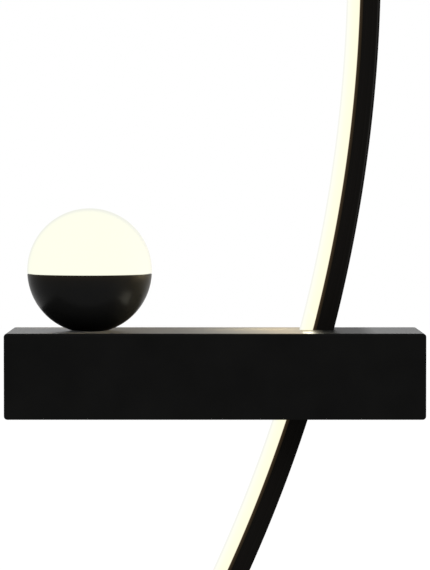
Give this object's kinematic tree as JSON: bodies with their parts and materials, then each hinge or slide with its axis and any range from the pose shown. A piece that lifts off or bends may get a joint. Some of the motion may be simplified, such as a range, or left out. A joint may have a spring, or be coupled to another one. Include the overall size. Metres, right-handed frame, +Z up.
{
  "type": "wall light",
  "caption": "Black box-shaped wall light with a tall bow-shaped light bar that passes through the box, and a globe with a glowing upper half on top.",
  "frame": {"origin": "on the wall plane, behind the middle of the housing", "axes": "+X to the right seen from the room, +Y into the wall, -Y to the room, +Z up"},
  "size_m": [0.271, 0.086, 0.9064],
  "materials": {
    "black_paint": "semi-gloss black powder paint on steel",
    "black_anodised": "satin black anodised aluminium",
    "black_plastic": "moulded matt black plastic",
    "opal": "satin opal acrylic, lit warm white from inside",
    "zinc": "bright zinc plating",
    "aluminium": "plain turned aluminium",
    "brass": "plain brass",
    "white_plastic": "moulded white plastic",
    "white_board": "white solder mask with yellow phosphor chips",
    "green_board": "green solder mask",
    "rubber": "moulded black rubber",
    "pad_silicone": "soft blue-grey silicone sheet",
    "lead_jacket": "white insulating jacket",
    "earth_jacket": "green and yellow insulating jacket"
  },
  "bodies": {
    "fixture": {"housing": "black_paint", "housing_side_screw_right": "black_paint", "housing_side_screw_left": "black_paint", "wall_bracket": "zinc", "bracket_tab_nut_right": "zinc", "bracket_tab_nut_left": "zinc", "cable_bushing": "rubber", "terminal_block": "white_plastic", "terminal_contact_left": "brass", "terminal_contact_right": "brass", "terminal_clamp_screw_1": "zinc", "terminal_clamp_screw_2": "zinc", "terminal_clamp_screw_3": "zinc", "terminal_clamp_screw_4": "zinc", "terminal_fixing_screw": "zinc", "driver_case": "white_plastic", "driver_lid": "white_plastic", "driver_board": "green_board", "driver_nut_right": "zinc", "driver_nut_left": "zinc", "bar_channel": "black_anodised", "bar_diffuser": "opal", "bar_led_tape": "white_board", "bar_end_cap_top": "black_plastic", "bar_end_cap_bottom": "black_plastic", "bar_end_cap_screw_top_rear": "black_anodised", "bar_end_cap_screw_top_front": "black_anodised", "bar_end_cap_screw_bottom_rear": "black_anodised", "bar_end_cap_screw_bottom_front": "black_anodised", "bar_cleat_upper": "zinc", "bar_cleat_lower": "zinc", "bar_cleat_screw_upper": "zinc", "bar_cleat_screw_lower": "zinc", "bar_cleat_nut_upper": "zinc", "bar_cleat_nut_lower": "zinc", "bar_lead_grommet": "rubber", "globe_bowl": "black_paint", "globe_led_plate": "aluminium", "globe_thermal_pad": "pad_silicone", "globe_led_board": "white_board", "globe_plate_screw_1": "zinc", "globe_plate_screw_2": "zinc", "globe_plate_screw_3": "zinc", "globe_board_screw_1": "zinc", "globe_board_screw_2": "zinc", "globe_nipple": "zinc", "globe_bowl_nut": "zinc", "globe_lock_washer": "zinc", "globe_lock_nut": "zinc", "globe_lead": "lead_jacket", "bar_lead": "lead_jacket", "bar_lead_clip_right": "white_plastic", "bar_lead_clip_left": "white_plastic", "driver_mains_wire_upper": "lead_jacket", "driver_mains_wire_lower": "lead_jacket", "earth_lead": "earth_jacket", "earth_nut_bracket": "zinc", "earth_nut_housing": "zinc"},
    "dome": {"globe_dome": "opal"}
  },
  "joints": [
    {"name": "dome_lift", "type": "slide", "parent": "fixture", "child": "dome", "axis": [0, 0, 1], "range_m": [0, 0.06]}
  ]
}
